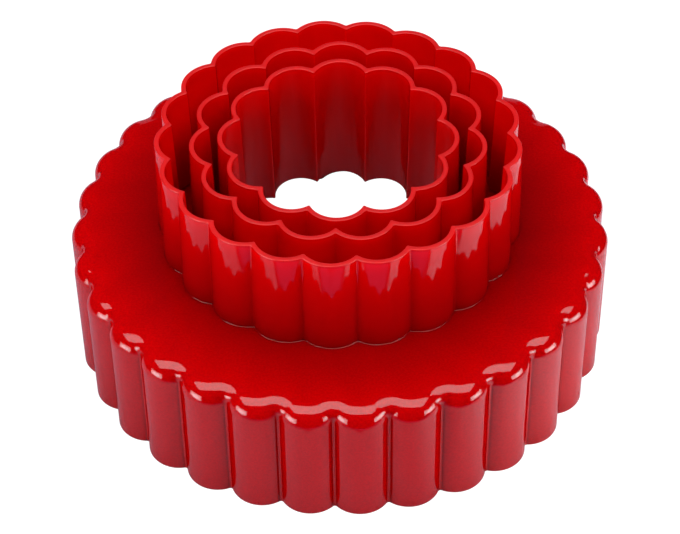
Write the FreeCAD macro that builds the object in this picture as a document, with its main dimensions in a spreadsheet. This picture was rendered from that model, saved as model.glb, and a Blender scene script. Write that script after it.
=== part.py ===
import FreeCAD, Part
import math
import os
import Sketcher

# A nested set of three round, fluted biscuit cutters. Each is one thin moulding
# that cuts on both edges: a wide skirt below, a flat plate, and a narrower collar
# above the plate. The set stands on its skirts with all three rims level.
# Z is up, the origin is at the middle of the circle that the skirts stand on.

CUTTERS = ("outer", "middle", "inner")

# Driving sizes in millimetres, flutes in counts, turns in degrees.
DRIVING = (
    ("total_height", 45.4, "skirt edge to collar rim, the same on every cutter"),
    ("plate_height", 25.8, "skirt edge to the top of the outer plate"),
    ("plate_thickness", 2.0, "plate of every cutter"),
    ("stack_gap", 0.5, "room between one plate and the next below it"),
    ("skirt_diameter", 98.0, "outer skirt, over the flute crests"),
    ("skirt_wall", 1.2, "skirt wall, parallel all round"),
    ("skirt_depth", 2.28, "skirt flute, crest to sharp valley"),
    ("skirt_groove", 0.45, "rounding in the valleys between skirt flutes"),
    ("skirt_gap", 0.35, "room between one skirt's valleys and the next skirt's crests"),
    ("collar_diameter", 65.2, "outer collar, over the flute crests"),
    ("collar_wall", 0.9, "collar wall at the crests"),
    ("collar_groove", 0.45, "rounding in the valleys outside the collars"),
    ("collar_cusp", 0.25, "rounding on the ridges inside the collars"),
    ("outer_collar_depth", 1.91, "flute of the outer collar, inside"),
    ("middle_collar_depth", 2.57, "flute of the middle collar, inside"),
    ("inner_collar_depth", 2.53, "flute of the inner collar, inside"),
    ("middle_collar_gap", 3.36, "room between the outer and middle collars"),
    ("inner_collar_gap", 1.51, "room between the middle and inner collars"),
    ("outer_skirt_flutes", 31, "flutes round the outer skirt"),
    ("middle_skirt_flutes", 28, "flutes round the middle skirt"),
    ("inner_skirt_flutes", 24, "flutes round the inner skirt"),
    ("outer_collar_flutes", 21, "flutes round the outer collar"),
    ("middle_collar_flutes", 15, "flutes round the middle collar"),
    ("inner_collar_flutes", 12, "flutes round the inner collar"),
    ("outer_turn", 181.05, "how far the outer cutter is turned in the nest"),
    ("middle_turn", -7.56, "how far the middle cutter is turned in the nest"),
    ("inner_turn", -1.49, "how far the inner cutter is turned in the nest"),
    ("edge_round", 3.4, "rounding from the plate over to the skirt"),
    ("hollow_round", 1.5, "rounding in the corner under the plate"),
    ("foot_round", 0.3, "rounding at the foot of the collar"),
    ("lip_bevel", 0.2, "bevel of the rims and cutting edges"),
)

# The most of a wall, a small rounding or a flute's radius that the finish of an edge takes up.
WALL_SHARE = 0.4
ROUNDING_SHARE = 0.8
FLUTE_SHARE = 0.9

# Edges count as level with a height when they are this near to it.
LEVEL_TOLERANCE = 0.001


def flute_arc(crest, valley, half):
    """Formula for the radius of the arc from a crest to the valleys on either side of it."""
    across = f"{valley} * cos({half})"
    square = f"{crest} ^ 2 + {valley} ^ 2 - 2 * {crest} * {across}"
    return f"=({square}) / (2 * ({crest} - {across}))"


def worked_out():
    """Cells whose values follow from the driving sizes, from the outer cutter inwards."""
    cells = []
    for number, cutter in enumerate(CUTTERS):
        skirt = f"{cutter}_skirt"
        collar = f"{cutter}_collar"
        if number == 0:
            top = "=plate_height"
            skirt_crest = "=skirt_diameter / 2"
            collar_crest = "=collar_diameter / 2"
        else:
            around = CUTTERS[number - 1]
            top = f"={around}_ceiling - stack_gap"
            skirt_crest = f"={around}_skirt_valley - skirt_wall - skirt_gap"
            collar_crest = f"={around}_collar_valley - {cutter}_collar_gap"
        skirt_arc = flute_arc(f"{skirt}_crest", f"{skirt}_valley", f"{skirt}_half")
        collar_arc = flute_arc(f"{collar}_bore", f"{collar}_valley", f"{collar}_half")
        cells += [
            (f"{cutter}_top", top, "top of the plate"),
            (f"{cutter}_ceiling", f"={cutter}_top - plate_thickness", "underside of the plate"),
            (f"{skirt}_half", f"=180 / round({skirt}_flutes)", "half the angle of a flute"),
            (f"{skirt}_crest", skirt_crest, "radius over the crests"),
            (f"{skirt}_valley", f"={skirt}_crest - skirt_depth", "radius at the sharp valleys"),
            (f"{skirt}_arc", skirt_arc, "flute radius, outside"),
            (f"{skirt}_centre", f"={skirt}_crest - {skirt}_arc", "radius of the flute centres"),
            (f"{collar}_half", f"=180 / round({collar}_flutes)", "half the angle of a flute"),
            (f"{collar}_crest", collar_crest, "radius over the crests"),
            (f"{collar}_bore", f"={collar}_crest - collar_wall", "inside radius at the crests"),
            (f"{collar}_valley", f"={collar}_bore - {collar}_depth", "inside radius at the ridges"),
            (f"{collar}_arc", collar_arc, "flute radius, inside"),
            (f"{collar}_centre", f"={collar}_bore - {collar}_arc", "radius of the flute centres"),
        ]
    return cells


doc = FreeCAD.newDocument("nesting_cutters")
sheet = doc.addObject("Spreadsheet::Sheet", "sizes")
for row, (alias, content, note) in enumerate(list(DRIVING) + worked_out(), start=1):
    sheet.set(f"A{row}", note)
    sheet.set(f"B{row}", str(content))
    sheet.setAlias(f"B{row}", alias)
doc.recompute()


def size(expression):
    """Value of an expression over the sheet's cells."""
    return float(sheet.evalExpression(expression))


def origin_feature(body, role):
    """The plane or axis of a body's own origin that has a role."""
    return next(feature for feature in body.Origin.OriginFeatures if feature.Role == role)


def flute_sector(body, name, half, centre, arc, groove):
    """Sketch of one flute as a sector from the axis: a crest arc between two half valleys.

    The flute points along X. Its crest arc has its centre on X, and each valley arc
    has its centre on the sector's own side, where it meets the next flute's valley arc.
    """
    sketch = body.newObject("Sketcher::SketchObject", name)
    sketch.AttachmentSupport = [(origin_feature(body, "XY_Plane"), "")]
    sketch.MapMode = "FlatFace"

    half_angle = math.radians(size(half))
    centre_x = size(centre)
    arc_radius = size(arc)
    groove_radius = size(groove)
    reach = arc_radius + groove_radius
    along = centre_x * math.cos(half_angle)
    across = centre_x * math.sin(half_angle)
    groove_distance = along + math.sqrt(reach ** 2 - across ** 2)
    groove_x = groove_distance * math.cos(half_angle)
    groove_y = groove_distance * math.sin(half_angle)
    crest_angle = math.atan2(groove_y, groove_x - centre_x)
    valley = groove_distance - groove_radius

    axis = FreeCAD.Vector(0, 0, 0)
    up = FreeCAD.Vector(0, 0, 1)
    low_end = FreeCAD.Vector(valley * math.cos(half_angle), -valley * math.sin(half_angle), 0)
    high_end = FreeCAD.Vector(low_end.x, -low_end.y, 0)
    low_groove = Part.Circle(FreeCAD.Vector(groove_x, -groove_y, 0), up, groove_radius)
    high_groove = Part.Circle(FreeCAD.Vector(groove_x, groove_y, 0), up, groove_radius)
    crest = Part.Circle(FreeCAD.Vector(centre_x, 0, 0), up, arc_radius)

    low_side = sketch.addGeometry(Part.LineSegment(axis, low_end))
    low_valley = sketch.addGeometry(
        Part.ArcOfCircle(low_groove, math.pi - crest_angle, math.pi - half_angle))
    flute = sketch.addGeometry(Part.ArcOfCircle(crest, -crest_angle, crest_angle))
    high_valley = sketch.addGeometry(
        Part.ArcOfCircle(high_groove, math.pi + half_angle, math.pi + crest_angle))
    high_side = sketch.addGeometry(Part.LineSegment(high_end, axis))

    # In a constraint, -1 is the sketch's X axis, and a point is a start 1, an end 2 or a centre 3.
    join = Sketcher.Constraint
    sketch.addConstraint([
        join("Coincident", low_side, 1, -1, 1),
        join("Coincident", high_side, 2, -1, 1),
        join("Coincident", low_side, 2, low_valley, 2),
        join("Coincident", high_side, 1, high_valley, 1),
        join("Tangent", low_valley, 1, flute, 1),
        join("Tangent", flute, 2, high_valley, 2),
        join("PointOnObject", flute, 3, -1),
        join("PointOnObject", low_valley, 3, low_side),
        join("PointOnObject", high_valley, 3, high_side),
        join("Equal", low_valley, high_valley),
    ])
    bound = (
        (join("Angle", low_side, 1, -1, 1, half_angle), f"{half} * 1 deg"),
        (join("Angle", -1, 1, high_side, 2, half_angle), f"{half} * 1 deg"),
        (join("DistanceX", -1, 1, flute, 3, centre_x), centre),
        (join("Radius", flute, arc_radius), arc),
        (join("Radius", high_valley, groove_radius), groove),
    )
    for constraint, expression in bound:
        number = sketch.addConstraint(constraint)
        sketch.setExpression(f"Constraints[{number}]", expression)
    doc.recompute()
    return sketch


def repeat_round(body, feature, flutes):
    """Repeats one flute's feature round the axis."""
    pattern = body.newObject("PartDesign::PolarPattern", f"{feature.Name}_round")
    pattern.Originals = [feature]
    pattern.Axis = (origin_feature(body, "Z_Axis"), [""])
    pattern.Angle = 360
    pattern.setExpression("Occurrences", f"round({flutes})")
    body.Tip = pattern
    doc.recompute()


def raise_flutes(body, sketch, name, height, flutes):
    """Solid fluted column from the standing plane up to a height."""
    pad = body.newObject("PartDesign::Pad", name)
    pad.Profile = sketch
    pad.setExpression("Length", height)
    doc.recompute()
    repeat_round(body, pad, flutes)


def hollow_flutes(body, sketch, name, depth, flutes):
    """Fluted hollow from the standing plane up to a height."""
    before = body.Shape.Volume
    pocket = body.newObject("PartDesign::Pocket", name)
    pocket.Profile = sketch
    pocket.Reversed = True
    pocket.setExpression("Length", depth)
    doc.recompute()
    repeat_round(body, pocket, flutes)
    if body.Shape.Volume >= before:
        raise RuntimeError(f"{name} cut nothing")


def level_edges(feature, height, low, high):
    """Names of a feature's edges that lie level at a height, between two radii."""
    names = []
    for number, edge in enumerate(feature.Shape.Edges, start=1):
        box = edge.BoundBox
        middle = edge.valueAt((edge.FirstParameter + edge.LastParameter) / 2)
        radius = math.hypot(middle.x, middle.y)
        level = max(abs(box.ZMin - height), abs(box.ZMax - height)) < LEVEL_TOLERANCE
        if level and low < radius < high:
            names.append(f"Edge{number}")
    return names


def round_edges(body, name, radius, height, low, high):
    """Rounds the body's level edges at a height, between two radii."""
    base = body.Tip
    fillet = body.newObject("PartDesign::Fillet", name)
    fillet.Base = (base, level_edges(base, height, low, high))
    fillet.setExpression("Radius", radius)
    body.Tip = fillet
    doc.recompute()


def bevel_edges(body, name, width, heights):
    """Bevels all the body's level edges at some heights."""
    base = body.Tip
    edges = []
    for height in heights:
        edges += level_edges(base, height, 0, math.inf)
    chamfer = body.newObject("PartDesign::Chamfer", name)
    chamfer.Base = (base, edges)
    chamfer.setExpression("Size", width)
    body.Tip = chamfer
    doc.recompute()


def cutter_body(cutter):
    """One cutter: skirt, plate and collar as a single moulding, open right through."""
    body = doc.addObject("PartDesign::Body", f"{cutter}_cutter")
    body.Label = f"{cutter}_cutter"
    skirt = f"sizes.{cutter}_skirt"
    collar = f"sizes.{cutter}_collar"
    top = f"sizes.{cutter}_top"
    ceiling = f"sizes.{cutter}_ceiling"
    rim = "sizes.total_height"

    skirt_outside = flute_sector(
        body, f"{cutter}_skirt_outside", f"{skirt}_half", f"{skirt}_centre",
        f"{skirt}_arc", "sizes.skirt_groove")
    skirt_inside = flute_sector(
        body, f"{cutter}_skirt_inside", f"{skirt}_half", f"{skirt}_centre",
        f"{skirt}_arc - sizes.skirt_wall", "sizes.skirt_groove + sizes.skirt_wall")
    collar_outside = flute_sector(
        body, f"{cutter}_collar_outside", f"{collar}_half", f"{collar}_centre",
        f"{collar}_arc + sizes.collar_wall", "sizes.collar_groove")
    collar_inside = flute_sector(
        body, f"{cutter}_collar_inside", f"{collar}_half", f"{collar}_centre",
        f"{collar}_arc", "sizes.collar_cusp")

    raise_flutes(body, skirt_outside, f"{cutter}_skirt", top, f"{skirt}_flutes")
    raise_flutes(body, collar_outside, f"{cutter}_collar", rim, f"{collar}_flutes")
    hollow_flutes(body, skirt_inside, f"{cutter}_hollow", ceiling, f"{skirt}_flutes")
    hollow_flutes(body, collar_inside, f"{cutter}_bore", rim, f"{collar}_flutes")

    # The middle of the flat of the plate parts the collar's edges from the skirt's.
    between = (size(f"{collar}_crest") + size(f"{skirt}_valley") - size("sizes.skirt_wall")) / 2
    lip = (f"min(sizes.lip_bevel; {ROUNDING_SHARE} * sizes.collar_cusp; "
           f"{WALL_SHARE} * sizes.collar_wall; {WALL_SHARE} * sizes.skirt_wall)")
    edge = f"min(sizes.edge_round; {FLUTE_SHARE} * {skirt}_arc)"
    foot = f"min(sizes.foot_round; {ROUNDING_SHARE} * sizes.collar_groove)"
    bevel_edges(body, f"{cutter}_lips", lip, (0, size(rim)))
    round_edges(body, f"{cutter}_edge", edge, size(top), between, math.inf)
    round_edges(body, f"{cutter}_corner", "sizes.hollow_round", size(ceiling), between, math.inf)
    round_edges(body, f"{cutter}_foot", foot, size(top), 0, between)

    turn = f"sizes.{cutter}_turn"
    rotation = FreeCAD.Rotation(FreeCAD.Vector(0, 0, 1), size(turn))
    body.Placement = FreeCAD.Placement(FreeCAD.Vector(0, 0, 0), rotation)
    body.setExpression("Placement.Rotation.Angle", f"{turn} * 1 deg")
    return body


bodies = [cutter_body(cutter) for cutter in CUTTERS]
doc.recompute()

for item in doc.Objects:
    if "Invalid" in item.State or "Error" in item.State:
        raise RuntimeError(f"{item.Label} failed: {item.State}")
for body in bodies:
    if body.Shape.isNull() or not body.Shape.isValid() or len(body.Shape.Solids) != 1:
        raise RuntimeError(f"{body.Label} is not one valid solid")

os.makedirs("parts", exist_ok=True)
for body in bodies:
    body.Shape.exportStep(f"parts/{body.Label}.step")
    box = body.Shape.optimalBoundingBox()
    print(f"{body.Label}: {box.XLength:.2f} x {box.YLength:.2f} x {box.ZLength:.2f} mm, "
          f"{body.Shape.Volume / 1000:.2f} cm3")
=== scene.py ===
import math
from functools import partial

import bpy
from mathutils import Matrix, Vector


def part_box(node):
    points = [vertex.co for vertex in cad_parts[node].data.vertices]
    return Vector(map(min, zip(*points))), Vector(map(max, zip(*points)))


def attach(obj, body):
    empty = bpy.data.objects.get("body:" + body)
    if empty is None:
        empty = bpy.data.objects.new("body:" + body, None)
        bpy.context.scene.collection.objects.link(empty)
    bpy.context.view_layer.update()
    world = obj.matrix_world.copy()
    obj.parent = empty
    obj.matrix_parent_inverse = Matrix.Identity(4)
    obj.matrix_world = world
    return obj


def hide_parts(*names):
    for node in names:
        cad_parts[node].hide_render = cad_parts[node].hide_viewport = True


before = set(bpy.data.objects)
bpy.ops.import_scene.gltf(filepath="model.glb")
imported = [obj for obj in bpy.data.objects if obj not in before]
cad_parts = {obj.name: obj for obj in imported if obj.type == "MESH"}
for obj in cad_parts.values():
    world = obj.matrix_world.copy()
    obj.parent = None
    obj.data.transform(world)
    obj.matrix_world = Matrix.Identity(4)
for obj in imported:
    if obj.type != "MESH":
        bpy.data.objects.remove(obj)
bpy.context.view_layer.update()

# The looks of a nested set of three fluted biscuit cutters in glossy red plastic.
# Each cutter is one closed moulding: skirt, plate and collar in a single surface,
# with rounded lips and the exact normal at every point, so that reflections run clean.

MM = 0.001

# Sizes in millimetres, turns in degrees, the same as the CAD model's.
CUTTERS = ("outer", "middle", "inner")
PLATE_HEIGHT = 25.8
PLATE_THICKNESS = 2.0
STACK_GAP = 0.5
SKIRT_RADIUS = 49.0
SKIRT_WALL = 1.2
SKIRT_DEPTH = 2.28
SKIRT_GROOVE = 0.45
SKIRT_GAP = 0.35
COLLAR_RADIUS = 32.6
COLLAR_WALL = 0.9
COLLAR_GROOVE = 0.45
COLLAR_CUSP = 0.25
COLLAR_DEPTH = {"outer": 1.91, "middle": 2.57, "inner": 2.53}
COLLAR_GAP = {"middle": 3.36, "inner": 1.51}
SKIRT_FLUTES = {"outer": 31, "middle": 28, "inner": 24}
COLLAR_FLUTES = {"outer": 21, "middle": 15, "inner": 12}
TURN = {"outer": 181.05, "middle": -7.56, "inner": -1.49}
EDGE_ROUND = 3.4
HOLLOW_ROUND = 1.5

# The lips are rounded by as much as the CAD model bevels them.
LIP_ROUND = 0.2

# The rounding at a collar's foot, finer than the CAD model's 0.3, so that its bright line stays faint.
# The plate has a ring of its own this far outside it.
FOOT_ROUND = 0.12
FOOT_CLEAR = 0.1

# Draft, which the CAD model leaves out, as changes of radius: the skirt is this much narrower at its base
# than at the plate, and the collar at its foot this much wider outside and narrower inside than at the rim.
SKIRT_DRAFT = 0.11
FOOT_DRAFT = 0.34
BORE_DRAFT = 0.74

# Towards the plate the skirt's valleys widen to this radius, and they are there by this angle in degrees.
# Their slope is measured over a small step, in radians.
EDGE_GROOVE = 2.5
EDGE_SOFT_BY = 50.0
EDGE_NUDGE = 0.01

# Painted light and shade in the plastic's colour, as a level from 0 for deep red to 1 for bright red.
# It is a painted glow where light would come through the plastic: most at a collar's rim and lips, and a
# little on the skirt. It is painted shade, lower, on the plate towards a collar's foot and in the foot.
SKIRT_PAINTED_LIGHT = 0.50
EDGE_PAINTED_LIGHT = 0.50
PLATE_PAINTED_SHADE = 0.15
FOOT_PAINTED_SHADE = 0.10
RIM_PAINTED_GLOW = 0.80
LIP_PAINTED_GLOW = 0.64
BORE_LIP_PAINTED_GLOW = 0.70

# The same painted light and shade inside a collar: at its throat, at a depth in millimetres below the rim,
# and at the rim. It is painted shade deep down and a painted glow at the rim.
BORE_PAINTED_LIGHT = {"outer": (0.4, 0.85, 1.0), "middle": (0.3, 0.57, 0.84), "inner": (0.3, 0.72, 0.9)}
BORE_PAINTED_LIGHT_DOWN = 8.0

# Added on the skirt: painted shade darkens its flanks beside its valleys, and painted light makes the
# valleys' bottoms paler again.
FLANK_PAINTED_SHADE = -0.25
VALLEY_PAINTED_LIGHT = 0.12

# The satin finish's share at the sides of a collar's lip and on its top.
LIP_SATIN = 0.3
RIM_SATIN = 1.0

# How finely the surface is divided: per flute, per valley, per rounding and per wall.
CREST_STEPS = 24
GROOVE_STEPS = 8
FLUTE_STEPS = CREST_STEPS + GROOVE_STEPS
EDGE_STEPS = 16
SMALL_STEPS = 5
WALL_SHARES = (0.02, 0.25, 0.5, 0.75, 0.98)


def flute_arc(crest, valley, half):
    """Radius of the arc from a crest to the sharp valleys on either side of it."""
    across = valley * math.cos(half)
    return (crest ** 2 + valley ** 2 - 2 * crest * across) / (2 * (crest - across))


def fluted_outline(flutes, centre, arc, turn, groove):
    """Points and outward normals once round a fluted wall, crest arcs joined by valley arcs."""
    half = math.pi / flutes
    reach = arc + groove
    distance = centre * math.cos(half) + math.sqrt(reach ** 2 - (centre * math.sin(half)) ** 2)
    groove_middle = Vector((distance * math.cos(half), distance * math.sin(half)))
    crest_middle = Vector((centre, 0.0))
    crest_angle = math.atan2(groove_middle.y, groove_middle.x - centre)

    flute = []
    for step in range(CREST_STEPS):
        angle = crest_angle * (2 * step / CREST_STEPS - 1)
        normal = Vector((math.cos(angle), math.sin(angle)))
        flute.append((crest_middle + arc * normal, normal))
    for step in range(GROOVE_STEPS):
        angle = crest_angle + 2 * (half - crest_angle) * step / GROOVE_STEPS
        normal = Vector((math.cos(angle), math.sin(angle)))
        flute.append((groove_middle - groove * normal, normal))

    outline = []
    for number in range(flutes):
        spin = Matrix.Rotation(turn + 2 * half * number, 2)
        outline += [(spin @ point, spin @ normal) for point, normal in flute]
    return outline


def edge_groove(angle):
    """Radius of the skirt's valleys at an angle round the plate's edge, from 0 at the wall."""
    share = min(max(angle / math.radians(EDGE_SOFT_BY), 0.0), 1.0)
    return SKIRT_GROOVE + (EDGE_GROOVE - SKIRT_GROOVE) * share * share * (3 - 2 * share)


def spread(outline, distance):
    """The outline with its points moved out from the axis."""
    return [(point + distance * point.normalized(), normal) for point, normal in outline]


class Shell:
    """A closed surface made as a chain of rings, with the exact normal at each point."""

    def __init__(self):
        self.points = []
        self.normals = []
        self.satin = []
        # Each point's level of painted light and shade in the plastic's colour.
        self.painted_light = []
        self.drawn = []
        self.faces = []
        # Marks of painted light and shade by height, and additions by place in a flute.
        self.painted_light_marks = [(0.0, 0.0)]
        self.flute_painted_light = [0.0] * FLUTE_STEPS
        self.draw_marks = 0.0

    def painted_light_at(self, height):
        """The level of painted light and shade at a height, between the marks set for the shell."""
        before = self.painted_light_marks[0]
        for mark in self.painted_light_marks:
            if height < mark[0]:
                share = (height - before[0]) / (mark[0] - before[0])
                return before[1] + (mark[1] - before[1]) * share
            before = mark
        return before[1]

    def ring(self, outline, offset, height, out, up, satin=0.0):
        """Adds a ring: the outline moved along its normals, at a height. out and up tilt the normal."""
        first = len(self.points)
        # The level of painted light and shade at this height.
        painted_light = self.painted_light_at(height)
        for number, (point, normal) in enumerate(outline):
            place = point + offset * normal
            self.points.append((place.x * MM, place.y * MM, height * MM))
            self.normals.append((out * normal.x, out * normal.y, up))
            self.satin.append(satin)
            self.painted_light.append(painted_light + self.flute_painted_light[number % FLUTE_STEPS])
            self.drawn.append(self.draw_marks)
        return range(first, len(self.points))

    def rounding(self, outline, middle, radius, start, end, steps, hollow=False, satin=(0.0, 0.0)):
        """Rings along a rounding about a middle (offset, height), between two angles in degrees.

        satin is the satin finish's share at the first ring and at the last.
        """
        rings = []
        side = -1 if hollow else 1
        for step in range(steps + 1):
            share = step / steps
            angle = math.radians(start + (end - start) * share)
            out = math.cos(angle)
            up = math.sin(angle)
            rings.append(self.ring(
                outline, middle[0] + radius * out, middle[1] + radius * up,
                side * out, side * up, satin[0] + (satin[1] - satin[0]) * share))
        return rings

    def softened_edge(self, outline_at, top):
        """Rings over the plate's edge, where the valleys get wider and shallower on the way up."""
        rings = []
        for step in range(EDGE_STEPS + 1):
            angle = math.radians(90 * step / EDGE_STEPS)
            out = math.cos(angle)
            up = math.sin(angle)
            outline = outline_at(edge_groove(angle))
            before = outline_at(edge_groove(angle - EDGE_NUDGE))
            after = outline_at(edge_groove(angle + EDGE_NUDGE))
            tilts = []
            for (_, normal), (first, _), (last, _) in zip(outline, before, after):
                swelling = (last - first).dot(normal) / (2 * EDGE_NUDGE)
                tilts.append(up - swelling / EDGE_ROUND)
            height = top - EDGE_ROUND + EDGE_ROUND * up
            ring = self.ring(outline, EDGE_ROUND * (out - 1), height, out, up)
            for number, tilt in zip(ring, tilts):
                self.normals[number] = (*self.normals[number][:2], tilt)
            rings.append(ring)
        return rings

    def wall(self, start, start_height, end, end_height, out):
        """Rings up or down a wall from one outline to another at its height, without the two ends."""
        rings = []
        draft = (end[0][0].length - start[0][0].length) / (end_height - start_height)
        for share in WALL_SHARES:
            height = start_height + (end_height - start_height) * share
            outline = [(first.lerp(last, share), normal) for (first, normal), (last, _) in zip(start, end)]
            rings.append(self.ring(outline, 0.0, height, out, -out * draft))
        return rings

    def join(self, before, after):
        """Faces between two rings: quads where they match, triangles across a flat where they don't."""
        if len(before) == len(after):
            count = len(before)
            for here in range(count):
                there = (here + 1) % count
                self.faces.append((before[here], before[there], after[there], after[here]))
            return
        before_turns = self.turns(before)
        after_turns = self.turns(after)
        before_done = 0
        after_done = 0
        while before_done < len(before) or after_done < len(after):
            near = before[before_done % len(before)]
            far = after[after_done % len(after)]
            before_first = after_done == len(after)
            if before_done < len(before) and after_done < len(after):
                before_first = before_turns[before_done + 1] <= after_turns[after_done + 1]
            if before_first:
                before_done += 1
                self.faces.append((near, before[before_done % len(before)], far))
            else:
                after_done += 1
                self.faces.append((near, after[after_done % len(after)], far))

    def turns(self, ring):
        """How far round the axis each point of a ring is, counted on from the first, once round."""
        angles = [math.atan2(self.points[number][1], self.points[number][0]) for number in ring]
        turned = [0.0]
        for before, after in zip(angles, angles[1:] + angles[:1]):
            turned.append(turned[-1] + (after - before) % math.tau)
        return turned


def cutter_sizes():
    """Each cutter's heights and wall outlines, from the outer cutter inwards."""
    sizes = {}
    top = PLATE_HEIGHT
    skirt_crest = SKIRT_RADIUS
    collar_crest = COLLAR_RADIUS
    for cutter in CUTTERS:
        if sizes:
            top = top - PLATE_THICKNESS - STACK_GAP
            skirt_crest = skirt_valley - SKIRT_WALL - SKIRT_GAP
            collar_crest = collar_valley - COLLAR_GAP[cutter]
        skirt_valley = skirt_crest - SKIRT_DEPTH
        collar_bore = collar_crest - COLLAR_WALL
        collar_valley = collar_bore - COLLAR_DEPTH[cutter]
        turn = math.radians(TURN[cutter])
        skirt_flutes = SKIRT_FLUTES[cutter]
        collar_flutes = COLLAR_FLUTES[cutter]
        skirt_arc = flute_arc(skirt_crest, skirt_valley, math.pi / skirt_flutes)
        collar_arc = flute_arc(collar_bore, collar_valley, math.pi / collar_flutes)
        skirt_centre = skirt_crest - skirt_arc
        collar_centre = collar_bore - collar_arc
        skirt_at = partial(fluted_outline, skirt_flutes, skirt_centre, skirt_arc, turn)
        sizes[cutter] = {
            "top": top,
            "ceiling": top - PLATE_THICKNESS,
            "bore_painted_light": BORE_PAINTED_LIGHT[cutter],
            "skirt_at": skirt_at,
            "skirt_outside": skirt_at(SKIRT_GROOVE),
            "skirt_inside": fluted_outline(
                skirt_flutes, skirt_centre, skirt_arc - SKIRT_WALL, turn, SKIRT_GROOVE + SKIRT_WALL),
            "collar_outside": fluted_outline(
                collar_flutes, collar_centre, collar_arc + COLLAR_WALL, turn, COLLAR_GROOVE),
            "collar_inside": fluted_outline(
                collar_flutes, collar_centre, collar_arc, turn, COLLAR_CUSP),
        }
    return sizes


def cutter_shell(size, rim):
    """One cutter as a chain of rings: up the skirt, over the plate, over the collar, and back inside."""
    shell = Shell()
    top = size["top"]
    ceiling = size["ceiling"]
    lip = LIP_ROUND
    skirt_outside = size["skirt_outside"]
    collar_outside = size["collar_outside"]
    collar_inside = size["collar_inside"]
    skirt_inside = size["skirt_inside"]
    skirt_base = spread(skirt_outside, -SKIRT_DRAFT)
    collar_foot = spread(collar_outside, FOOT_DRAFT)
    collar_throat = spread(collar_inside, -BORE_DRAFT)

    # Painted light on the skirt, the same up to the plate's edge.
    shell.painted_light_marks = [(0.0, SKIRT_PAINTED_LIGHT), (top - EDGE_ROUND, SKIRT_PAINTED_LIGHT), (top, EDGE_PAINTED_LIGHT)]
    # Painted shade on the skirt's flanks beside its valleys, and painted light at the valleys' bottoms.
    for number in (0, CREST_STEPS):
        shell.flute_painted_light[number] = FLANK_PAINTED_SHADE
    for number in range(CREST_STEPS + 1, FLUTE_STEPS):
        shell.flute_painted_light[number] = VALLEY_PAINTED_LIGHT
    rings = shell.rounding(skirt_base, (-lip, lip), lip, -90, 0, SMALL_STEPS)
    rings += shell.wall(skirt_base, lip, skirt_outside, top - EDGE_ROUND, 1.0)
    shell.flute_painted_light = [0.0] * FLUTE_STEPS
    rings += shell.softened_edge(size["skirt_at"], top)

    # Painted shade on the plate, darker towards the collar's foot, rising up the collar's outside to a
    # painted glow at its rim.
    shell.painted_light_marks = [(top, PLATE_PAINTED_SHADE), (top + FOOT_ROUND, FOOT_PAINTED_SHADE), (rim, RIM_PAINTED_GLOW)]
    rings.append(shell.ring(collar_foot, FOOT_ROUND + FOOT_CLEAR, top, 0.0, 1.0))
    rings += shell.rounding(
        collar_foot, (FOOT_ROUND, top + FOOT_ROUND), FOOT_ROUND, 270, 180, SMALL_STEPS, hollow=True)
    shell.draw_marks = 1.0
    rings += shell.wall(collar_foot, top + FOOT_ROUND, collar_outside, rim - lip, 1.0)
    # A painted glow on the collar's lips, outside and inside.
    shell.painted_light_marks = [(0.0, LIP_PAINTED_GLOW)]
    rings += shell.rounding(
        collar_outside, (-lip, rim - lip), lip, 0, 90, SMALL_STEPS, satin=(LIP_SATIN, RIM_SATIN))
    shell.painted_light_marks = [(0.0, BORE_LIP_PAINTED_GLOW)]
    rings += shell.rounding(
        collar_inside, (lip, rim - lip), lip, 90, 180, SMALL_STEPS, satin=(RIM_SATIN, LIP_SATIN))

    # Painted shade deep in the bore, rising to a painted glow at its rim.
    throat_painted_shade, bore_painted_light, rim_painted_glow = size["bore_painted_light"]
    shell.painted_light_marks = [(ceiling, throat_painted_shade), (rim - BORE_PAINTED_LIGHT_DOWN, bore_painted_light), (rim, rim_painted_glow)]
    rings += shell.wall(collar_inside, rim - lip, collar_throat, ceiling + lip, -1.0)
    shell.draw_marks = 0.0
    rings += shell.rounding(collar_throat, (lip, ceiling + lip), lip, 180, 270, SMALL_STEPS)

    # Inside the skirt, the skirt's painted light again.
    shell.painted_light_marks = [(0.0, SKIRT_PAINTED_LIGHT), (ceiling, SKIRT_PAINTED_LIGHT)]
    hollow_middle = (-HOLLOW_ROUND, ceiling - HOLLOW_ROUND)
    rings += shell.rounding(skirt_inside, hollow_middle, HOLLOW_ROUND, 90, 0, EDGE_STEPS, hollow=True)
    rings += shell.wall(skirt_inside, ceiling - HOLLOW_ROUND, skirt_inside, lip, -1.0)
    rings += shell.rounding(skirt_inside, (lip, lip), lip, 180, 270, SMALL_STEPS)

    for before, after in zip(rings, rings[1:] + rings[:1]):
        shell.join(before, after)
    return shell


def cutter_piece(cutter, size, rim, material):
    """The cutter's mesh object, standing for its CAD node."""
    shell = cutter_shell(size, rim)
    mesh = bpy.data.meshes.new(f"{cutter}_moulding")
    mesh.from_pydata(shell.points, [], shell.faces)
    mesh.validate()
    mesh.shade_smooth()
    mesh.normals_split_custom_set_from_vertices(shell.normals)
    # The points' satin share, painted light and shade, and draw marks, for the material.
    for name, values in (("satin", shell.satin), ("painted_light", shell.painted_light), ("drawn", shell.drawn)):
        attribute = mesh.attributes.new(name, "FLOAT", "POINT")
        attribute.data.foreach_set("value", values)
    mesh.materials.append(material)
    piece = bpy.data.objects.new(f"{cutter}_moulding", mesh)
    bpy.context.scene.collection.objects.link(piece)
    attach(piece, f"{cutter}_cutter")
    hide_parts(f"{cutter}_cutter")


def add_node(tree, kind, settings=None, inputs=None):
    """A shader node with its settings and inputs. An input is a value, or another node's socket."""
    node = tree.nodes.new(kind)
    for name, value in (settings or {}).items():
        setattr(node, name, value)
    for name, value in (inputs or {}).items():
        if isinstance(value, bpy.types.NodeSocket):
            tree.links.new(value, node.inputs[name])
        else:
            node.inputs[name].default_value = value
    return node


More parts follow.
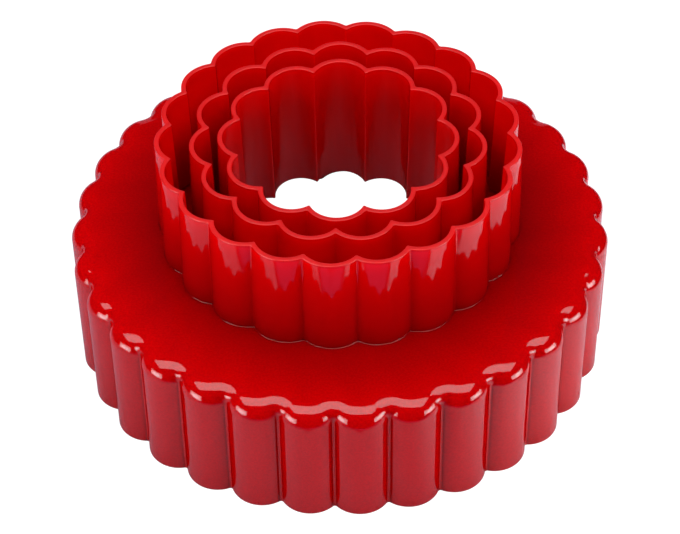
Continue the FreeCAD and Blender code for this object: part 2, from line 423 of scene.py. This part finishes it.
def maths(tree, operation, *values):
    """The result of a maths node on values, each a number or another node's socket."""
    return add_node(
        tree, "ShaderNodeMath", {"operation": operation}, dict(enumerate(values))).outputs["Value"]


def attribute(tree, name):
    """The mesh's own value of that name at each point."""
    return add_node(tree, "ShaderNodeAttribute", {"attribute_name": name}).outputs["Fac"]


def noise(tree, place, scale, detail, roughness):
    """A noise level at each place."""
    return add_node(tree, "ShaderNodeTexNoise", inputs={
        "Vector": place, "Scale": scale, "Detail": detail, "Roughness": roughness}).outputs["Fac"]


def between(tree, level, low, high):
    """A noise level spread over the range between two values."""
    return add_node(tree, "ShaderNodeMapRange", inputs={
        "Value": level, "From Min": NOISE_LOW, "From Max": NOISE_HIGH,
        "To Min": low, "To Max": high}).outputs["Result"]


def colour_ramp(tree, level, shades):
    """Colours by level, from shades given as (level, colour), the first at 0 and the last at 1."""
    ramp = add_node(tree, "ShaderNodeValToRGB", inputs={"Fac": level})
    elements = ramp.color_ramp.elements
    elements[0].color = shades[0][1]
    elements[1].color = shades[-1][1]
    for position, colour in shades[1:-1]:
        elements.new(position).color = colour
    return ramp.outputs["Color"]


# The range that the noise levels mostly keep to.
NOISE_LOW = 0.3
NOISE_HIGH = 0.7

# The plastic's reds by the level of painted light and shade, from deep red in painted shade to bright red in
# a painted glow, and how much they drift and mottle.
# Each noise is given by its scale, detail and roughness.
REDS_BY_PAINTED_LIGHT = (
    (0.0, (0.27, 0.0002, 0.0006, 1.0)),
    (0.3, (0.40, 0.0003, 0.0010, 1.0)),
    (0.45, (0.50, 0.0003, 0.0010, 1.0)),
    (0.7, (0.66, 0.0003, 0.0010, 1.0)),
    (0.9, (0.97, 0.0003, 0.0010, 1.0)),
    (1.0, (0.98, 0.0006, 0.0015, 1.0)))
DRIFT = 0.02
DRIFT_NOISE = (70.0, 3.0, 0.6)
GRAIN = 0.09
GRAIN_NOISE = (2600.0, 1.0, 0.5)

# The finish: roughness where polished, what the satin finish adds, and the slow waves and upright
# draw marks in the surface, with their depths in metres.
POLISH_FINEST = 0.04
POLISH_DULLEST = 0.07
POLISH_NOISE = (160.0, 4.0, 0.65)
SATIN_ROUGHNESS = 0.55
WAVE_NOISE = (120.0, 1.0, 0.5)
WAVE_DEPTH = 0.00001
MARK_NOISE = (1400.0, 2.0, 0.5)
MARK_STRETCH = (1.0, 1.0, 0.03)
MARK_DEPTH = 0.000008

# The plastic's refraction, and how far red, green and blue light scatter in it: shares of a length in metres.
PLASTIC_IOR = 1.58
SCATTER_SHARES = (1.0, 0.08, 0.10)
SCATTER_LENGTH = 0.0025


def red_plastic():
    """Glossy moulded plastic: polished walls with faint draw marks, satin rims, slow waviness, and painted
    light and shade in its colour.
    """
    material = bpy.data.materials.new("red_plastic")
    material.use_nodes = True
    tree = material.node_tree
    shader = tree.nodes["Principled BSDF"]
    place = add_node(tree, "ShaderNodeTexCoord").outputs["Object"]
    drawn = attribute(tree, "drawn")

    drift = between(tree, noise(tree, place, *DRIFT_NOISE), -DRIFT, DRIFT)
    grain = between(tree, noise(tree, place, *GRAIN_NOISE), -GRAIN, GRAIN)
    undrawn = maths(tree, "SUBTRACT", 1.0, drawn)
    mottle = maths(tree, "MULTIPLY_ADD", grain, undrawn, drift)
    # The level of painted light and shade, with the plastic's own drift and grain, picks the red.
    depth = maths(tree, "ADD", attribute(tree, "painted_light"), mottle)
    tree.links.new(colour_ramp(tree, depth, REDS_BY_PAINTED_LIGHT), shader.inputs["Base Color"])

    polish = between(tree, noise(tree, place, *POLISH_NOISE), POLISH_FINEST, POLISH_DULLEST)
    rough = maths(tree, "MULTIPLY_ADD", attribute(tree, "satin"), SATIN_ROUGHNESS, polish)
    tree.links.new(rough, shader.inputs["Roughness"])

    waves = noise(tree, place, *WAVE_NOISE)
    wavy = add_node(tree, "ShaderNodeBump", inputs={
        "Height": waves, "Strength": 1.0, "Distance": WAVE_DEPTH}).outputs["Normal"]
    stretched = add_node(tree, "ShaderNodeMapping", inputs={
        "Vector": place, "Scale": MARK_STRETCH}).outputs["Vector"]
    marks = maths(tree, "MULTIPLY", noise(tree, stretched, *MARK_NOISE), drawn)
    marked = add_node(tree, "ShaderNodeBump", inputs={
        "Height": marks, "Strength": 1.0, "Distance": MARK_DEPTH, "Normal": wavy}).outputs["Normal"]
    tree.links.new(marked, shader.inputs["Normal"])

    shader.inputs["IOR"].default_value = PLASTIC_IOR
    shader.inputs["Subsurface Weight"].default_value = 1.0
    shader.inputs["Subsurface Radius"].default_value = SCATTER_SHARES
    shader.inputs["Subsurface Scale"].default_value = SCATTER_LENGTH
    return material


# The white paper that the set stands on, in metres. Its front edge lies just out of the picture,
# and a margin in front of it, which the camera doesn't see, is painted with shade: a band of painted shadow
# at the paper's edge, then cool shade falling off to black.
PAPER_FRONT = -0.0673
MARGIN_FRONT = -0.0813
PAPER_LEFT = -0.125
PAPER_RIGHT = 0.085
PAPER_BACK = 0.35

# The paper's colours as it is lit: plain at the left, and brighter at the right with a painted pool of light,
# changing between two places.
PAPER_PLAIN = (0.45, 0.33, 0.42, 1.0)
PAPER_PAINTED_LIGHT = (0.95, 0.76, 0.86, 1.0)
BRIGHT_FROM = 0.015
BRIGHT_BY = 0.045
# The margin's painted shade, from the paper's edge to the margin's front.
MARGIN_PAINTED_SHADE = (
    (0.0, PAPER_PLAIN),
    (0.06, (0.12, 0.03, 0.08, 1.0)),
    (0.20, (0.12, 0.03, 0.08, 1.0)),
    (0.35, (0.35, 0.11, 0.29, 1.0)),
    (0.90, (0.35, 0.11, 0.29, 1.0)),
    (1.0, (0.0, 0.0, 0.0, 1.0)))

# The paper's white glow: its strength, and its share for the camera and in reflections.
PAPER_STRENGTH = 1.25
PAPER_GLOW = 0.85
PAPER_MIRRORED = 0.01

# A card that leans away behind the paper, which the camera doesn't see, in metres.
CARD_COLOUR = (0.38, 0.30, 0.40, 1.0)
CARD_RIGHT = 0.125
CARD_BACK = 0.55
CARD_TOP = 0.40

# The pale floor and low round wall that only the camera sees, in metres.
STUDIO_RADIUS = 1.6
STUDIO_WALL = 0.25
STUDIO_DROP = 0.0005
STUDIO_STEPS = 96


def stage_object(name, points, faces, material):
    """A stage object from points and faces."""
    mesh = bpy.data.meshes.new(name)
    mesh.from_pydata(points, [], faces)
    mesh.materials.append(material)
    piece = bpy.data.objects.new(name, mesh)
    bpy.context.scene.collection.objects.link(piece)
    return piece


def sheet(name, left, right, front, back, top, material):
    """A flat four-cornered stage object that rises from the floor at its front to a height at its back."""
    points = [(left, front, 0.0), (right, front, 0.0), (right, back, top), (left, back, top)]
    return stage_object(name, points, [(0, 1, 2, 3)], material)


def stage_material(name):
    """A new material without a shader, and its node tree."""
    material = bpy.data.materials.new(name)
    material.use_nodes = True
    tree = material.node_tree
    tree.nodes.remove(tree.nodes["Principled BSDF"])
    return material, tree


def set_surface(tree, surface):
    """Makes a shader the material's surface."""
    tree.links.new(surface, tree.nodes["Material Output"].inputs["Surface"])


def graded_paper(tree, axis, start, end, shades):
    """Matt paper whose colour runs through shades of painted light and shade between two places on an axis.
    """
    place = add_node(tree, "ShaderNodeTexCoord").outputs["Object"]
    split = add_node(tree, "ShaderNodeSeparateXYZ", inputs={"Vector": place})
    along = add_node(tree, "ShaderNodeMapRange", inputs={
        "Value": split.outputs[axis], "From Min": start, "From Max": end}).outputs["Result"]
    colour = colour_ramp(tree, along, shades)
    return add_node(tree, "ShaderNodeBsdfDiffuse", inputs={"Color": colour}).outputs["BSDF"]


def paper_material():
    """Paper that looks white to the camera, glows a little in reflections and takes the set's shadow."""
    material, tree = stage_material("white_paper")
    path = add_node(tree, "ShaderNodeLightPath").outputs
    seen = maths(tree, "ADD", path["Is Glossy Ray"], path["Is Transmission Ray"])
    mirrored = maths(tree, "MULTIPLY", seen, PAPER_MIRRORED)
    glow = maths(tree, "MULTIPLY_ADD", path["Is Camera Ray"], PAPER_GLOW, mirrored)
    # Lit paper, with a painted pool of light towards the right.
    lit = graded_paper(tree, "X", BRIGHT_FROM, BRIGHT_BY, ((0.0, PAPER_PLAIN), (1.0, PAPER_PAINTED_LIGHT)))
    white = add_node(tree, "ShaderNodeEmission", inputs={"Strength": PAPER_STRENGTH}).outputs["Emission"]
    mix = add_node(tree, "ShaderNodeMixShader", inputs={0: glow, 1: lit, 2: white})
    set_surface(tree, mix.outputs["Shader"])
    return material


def margin_material():
    """The paper's front margin, painted with cool shade that falls off towards its edge."""
    material, tree = stage_material("paper_margin")
    set_surface(tree, graded_paper(tree, "Y", PAPER_FRONT, MARGIN_FRONT, MARGIN_PAINTED_SHADE))
    return material


def card_material():
    """A matt card."""
    material, tree = stage_material("cool_card")
    set_surface(tree, add_node(tree, "ShaderNodeBsdfDiffuse", inputs={"Color": CARD_COLOUR}).outputs["BSDF"])
    return material


def studio_material():
    """Plain white surroundings."""
    material, tree = stage_material("pale_studio")
    set_surface(tree, add_node(tree, "ShaderNodeEmission").outputs["Emission"])
    return material


def studio():
    """A round pale floor with a low wall, which gives no light and takes no part in reflections."""
    points = []
    for height in (-STUDIO_DROP, STUDIO_WALL):
        for step in range(STUDIO_STEPS):
            angle = math.tau * step / STUDIO_STEPS
            points.append((STUDIO_RADIUS * math.cos(angle), STUDIO_RADIUS * math.sin(angle), height))
    faces = [tuple(range(STUDIO_STEPS))]
    for step in range(STUDIO_STEPS):
        after = (step + 1) % STUDIO_STEPS
        faces.append((step, after, after + STUDIO_STEPS, step + STUDIO_STEPS))
    surroundings = stage_object("studio", points, faces, studio_material())
    surroundings.visible_diffuse = False
    surroundings.visible_glossy = False
    surroundings.visible_transmission = False
    surroundings.visible_shadow = False


def stage():
    """White paper under the set, a card behind it, and a pale floor and wall round them for the camera."""
    sheet("paper", PAPER_LEFT, PAPER_RIGHT, PAPER_FRONT, PAPER_BACK, 0.0, paper_material())
    margin = sheet(
        "paper_margin", PAPER_LEFT, PAPER_RIGHT, MARGIN_FRONT, PAPER_FRONT, 0.0, margin_material())
    margin.visible_camera = False
    card = sheet(
        "back_card", PAPER_LEFT, CARD_RIGHT, PAPER_BACK, CARD_BACK, CARD_TOP, card_material())
    card.visible_camera = False
    studio()


# The overhead soft box, in metres.
OVERHEAD_HEIGHT = 0.575
OVERHEAD_LEFT = -0.60
OVERHEAD_RIGHT = 0.53
OVERHEAD_FRONT = -0.455
OVERHEAD_BACK = 0.050
OVERHEAD_RADIANCE = 2.8

# The other soft boxes: azimuth from the camera's side, growing to the right, and elevation of the middle,
# distance in metres, width and height as angles, and radiance. All angles are in degrees.
BACK_FILL = (195, 55, 0.70, 50, 35, 2.2)
LEFT_BOX = (-54, -4, 0.55, 36, 28, 4.4)
LEFT_MIDDLE = (-54, -4, 0.54, 22, 18, 3.6)
RIGHT_BOX = (62, 0, 0.55, 40, 22, 5.0)
RIGHT_MIDDLE = (62, 0, 0.54, 22, 15, 3.6)

# The height in metres that these boxes face, the dim room's colour, and a limit between one mirror and
# two, past which a lamp doesn't show.
AIM_HEIGHT = 0.024
ROOM_COLOUR = (0.008, 0.007, 0.014, 1.0)
MIRRORS_BELOW = 1.5


def mirrored_once(lamp):
    """Leaves the lamp out of what a mirrored surface mirrors in its turn."""
    lamp.use_nodes = True
    tree = lamp.node_tree
    mirrors = add_node(tree, "ShaderNodeLightPath").outputs["Glossy Depth"]
    first = maths(tree, "LESS_THAN", mirrors, MIRRORS_BELOW)
    tree.links.new(first, tree.nodes["Emission"].inputs["Strength"])


def area_lamp(name, shape, width, height, radiance):
    """A lamp of a size in metres and an even radiance, which the camera doesn't see."""
    lamp = bpy.data.lights.new(name, "AREA")
    lamp.shape = shape
    lamp.size = width
    lamp.size_y = height
    area = width * height
    if shape == "ELLIPSE":
        area *= math.pi / 4
    lamp.energy = radiance * math.pi * area
    mirrored_once(lamp)
    box = bpy.data.objects.new(name, lamp)
    box.visible_camera = False
    bpy.context.scene.collection.objects.link(box)
    return box


def soft_box(name, shape, azimuth, elevation, distance, width, height, radiance):
    """A soft box that faces the object."""
    across = 2 * distance * math.tan(math.radians(width / 2))
    upright = 2 * distance * math.tan(math.radians(height / 2))
    box = area_lamp(name, shape, across, upright, radiance)
    turn = math.radians(azimuth)
    rise = math.radians(elevation)
    towards = Vector((math.sin(turn) * math.cos(rise), -math.cos(turn) * math.cos(rise), math.sin(rise)))
    box.location = towards * distance + Vector((0.0, 0.0, AIM_HEIGHT))
    box.rotation_mode = "QUATERNION"
    box.rotation_quaternion = towards.to_track_quat("Z", "Y")
    return box


def overhead_box():
    """A wide level soft box above the set and in front of it."""
    width = OVERHEAD_RIGHT - OVERHEAD_LEFT
    depth = OVERHEAD_BACK - OVERHEAD_FRONT
    box = area_lamp("overhead", "RECTANGLE", width, depth, OVERHEAD_RADIANCE)
    box.location = (
        (OVERHEAD_LEFT + OVERHEAD_RIGHT) / 2, (OVERHEAD_FRONT + OVERHEAD_BACK) / 2, OVERHEAD_HEIGHT)


def lights():
    """An overhead soft box, a fill behind, and a box on each side in front with a brighter middle."""
    overhead_box()
    fill = soft_box("back_fill", "RECTANGLE", *BACK_FILL)
    fill.visible_glossy = False
    soft_box("left", "RECTANGLE", *LEFT_BOX)
    soft_box("left_middle", "ELLIPSE", *LEFT_MIDDLE)
    soft_box("right", "RECTANGLE", *RIGHT_BOX)
    soft_box("right_middle", "ELLIPSE", *RIGHT_MIDDLE)
    world = bpy.data.worlds.new("dim_room")
    world.use_nodes = True
    background = world.node_tree.nodes["Background"]
    background.inputs["Color"].default_value = ROOM_COLOUR
    bpy.context.scene.world = world


# The photograph's camera, found from the flutes: place in millimetres, angles in degrees,
# focal length in pixels of a picture 680 pixels wide. The nearest and farthest it sees are in metres.
CAMERA_PLACE = (-0.015, -328.16, 339.56)
CAMERA_DOWN = 44.867
CAMERA_ROLL = 0.835
CAMERA_FOCAL = 2488.9
PICTURE_WIDTH = 680
SENSOR_WIDTH = 36.0
CAMERA_NEAREST = 0.01
CAMERA_FARTHEST = 10.0


def camera():
    """The camera at the photograph's viewing angle."""
    lens = bpy.data.cameras.new("camera")
    lens.sensor_fit = "HORIZONTAL"
    lens.sensor_width = SENSOR_WIDTH
    lens.lens = SENSOR_WIDTH * CAMERA_FOCAL / PICTURE_WIDTH
    lens.clip_start = CAMERA_NEAREST
    lens.clip_end = CAMERA_FARTHEST
    viewer = bpy.data.objects.new("camera", lens)
    tilt = Matrix.Rotation(math.radians(90 - CAMERA_DOWN), 4, "X")
    roll = Matrix.Rotation(math.radians(-CAMERA_ROLL), 4, "Z")
    viewer.matrix_world = Matrix.Translation(Vector(CAMERA_PLACE) * MM) @ tilt @ roll
    bpy.context.scene.collection.objects.link(viewer)
    bpy.context.scene.camera = viewer


plastic = red_plastic()
rim_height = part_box("outer_cutter")[1].z / MM
for cutter, size in cutter_sizes().items():
    cutter_piece(cutter, size, rim_height, plastic)
stage()
lights()
camera()
bpy.context.scene.view_settings.view_transform = "Standard"
